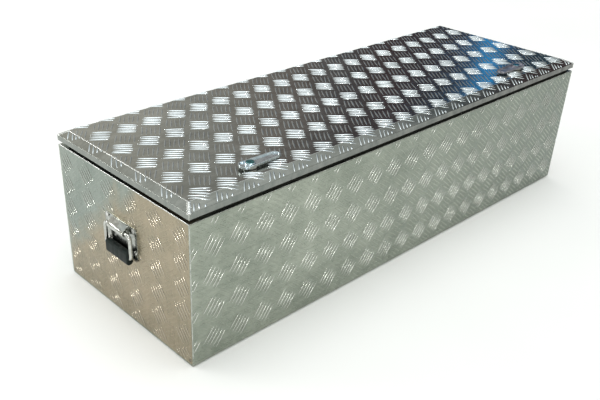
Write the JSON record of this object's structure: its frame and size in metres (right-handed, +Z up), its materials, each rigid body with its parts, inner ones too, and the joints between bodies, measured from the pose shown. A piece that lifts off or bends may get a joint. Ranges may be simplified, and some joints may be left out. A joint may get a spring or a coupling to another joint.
{
  "type": "battery box",
  "caption": "Long folded tread-plate aluminium battery box with a hinged lid, rubber lid seal, lever latches on the lid and a drop chest handle at each end.",
  "frame": {"origin": "middle of the underside, on the surface the box rests on", "axes": "+X along the box's length, +Y towards the hinge side, +Z up"},
  "size_m": [1.1302, 0.3756, 0.3026],
  "materials": {
    "tread_plate": "bright five-bar tread plate, rolled",
    "hinge_metal": "mill finish",
    "zinc_steel": "zinc plated",
    "chrome": "polished plating",
    "seal_rubber": "black cellular rubber",
    "grip_plastic": "black moulded, fine texture"
  },
  "bodies": {
    "root": {"body_wrap": "tread_plate", "end_panel_left": "tread_plate", "end_panel_right": "tread_plate", "floor_mat": "seal_rubber", "seal_front": "seal_rubber", "seal_back": "seal_rubber", "seal_left": "seal_rubber", "seal_right": "seal_rubber", "hinge_leaf_body": "hinge_metal", "hinge_pin": "zinc_steel", "hinge_rivets_body": "hinge_metal", "handle_plate_left": "chrome", "handle_hood_left": "chrome", "handle_rivets_left": "hinge_metal", "handle_plate_right": "chrome", "handle_hood_right": "chrome", "handle_rivets_right": "hinge_metal"},
    "lid": {"lid_shell": "tread_plate", "hinge_leaf_lid": "hinge_metal", "hinge_rivets_lid": "hinge_metal", "latch_gasket_left": "seal_rubber", "latch_housing_left": "chrome", "latch_nut_left": "zinc_steel", "latch_gasket_right": "seal_rubber", "latch_housing_right": "chrome", "latch_nut_right": "zinc_steel"},
    "latch_left": {"latch_lever_left": "chrome", "latch_spindle_left": "zinc_steel", "latch_cam_left": "zinc_steel", "latch_cam_bolt_left": "zinc_steel"},
    "key_left": {"latch_key_plug_left": "chrome"},
    "bail_left": {"handle_bail_left": "chrome", "handle_grip_left": "grip_plastic"},
    "latch_right": {"latch_lever_right": "chrome", "latch_spindle_right": "zinc_steel", "latch_cam_right": "zinc_steel", "latch_cam_bolt_right": "zinc_steel"},
    "key_right": {"latch_key_plug_right": "chrome"},
    "bail_right": {"handle_bail_right": "chrome", "handle_grip_right": "grip_plastic"}
  },
  "joints": [
    {"name": "lid_hinge", "type": "hinge", "parent": "root", "child": "lid", "pos_m": [0, 0.18515, 0.271], "axis": [-1, 0, 0], "range_deg": [0, 105]},
    {"name": "latch_left_turn", "type": "hinge", "parent": "lid", "child": "latch_left", "pos_m": [-0.387, -0.13685, 0.297], "axis": [0, 0, 1], "range_deg": [0, 90]},
    {"name": "key_left_turn", "type": "hinge", "parent": "latch_left", "child": "key_left", "pos_m": [-0.387, -0.13685, 0.3], "axis": [0, 0, 1], "range_deg": [0, 90]},
    {"name": "latch_right_turn", "type": "hinge", "parent": "lid", "child": "latch_right", "pos_m": [0.387, -0.13685, 0.297], "axis": [0, 0, -1], "range_deg": [0, 90]},
    {"name": "key_right_turn", "type": "hinge", "parent": "latch_right", "child": "key_right", "pos_m": [0.387, -0.13685, 0.3], "axis": [0, 0, -1], "range_deg": [0, 90]},
    {"name": "handle_left_swing", "type": "hinge", "parent": "root", "child": "bail_left", "pos_m": [-0.5585, -0.00035, 0.182], "axis": [0, 1, 0], "range_deg": [0, 95]},
    {"name": "handle_right_swing", "type": "hinge", "parent": "root", "child": "bail_right", "pos_m": [0.5585, -0.00035, 0.182], "axis": [0, -1, 0], "range_deg": [0, 95]}
  ]
}
